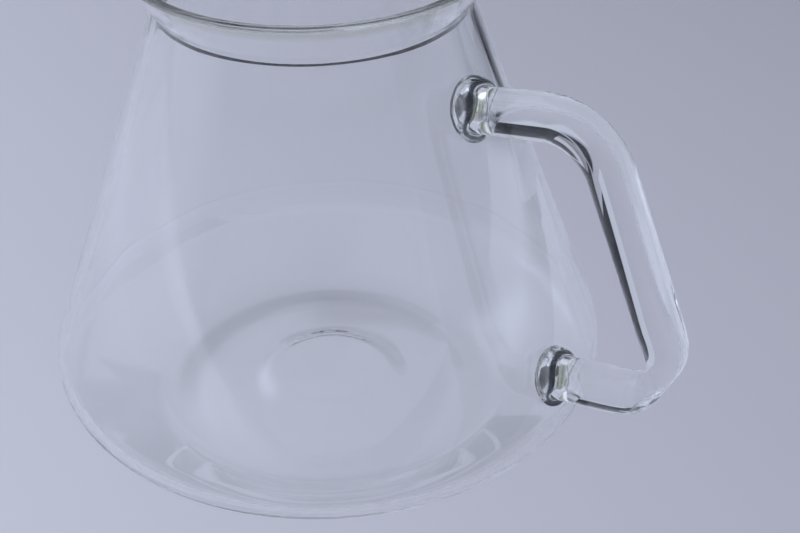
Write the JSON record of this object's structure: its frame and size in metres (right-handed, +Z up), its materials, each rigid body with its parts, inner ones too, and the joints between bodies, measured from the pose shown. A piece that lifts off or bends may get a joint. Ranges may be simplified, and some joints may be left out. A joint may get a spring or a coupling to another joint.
{
  "type": "coffee server",
  "caption": "Conical clear glass coffee server with a foot ring, pinched neck, flared collar and a bent solid glass rod handle welded to the wall.",
  "frame": {"origin": "on the vessel's axis, at the height of the flat foot ring that the server stands on", "axes": "+Z up along the vessel's axis; +X towards the handle, which lies in the XZ plane"},
  "size_m": [0.1461, 0.12, 0.1079],
  "materials": {
    "borosilicate_glass": "clear, fire-polished"
  },
  "bodies": {
    "root": {"vessel": "borosilicate_glass", "handle_rod": "borosilicate_glass", "upper_weld_bead": "borosilicate_glass", "lower_weld_bead": "borosilicate_glass"}
  },
  "joints": []
}
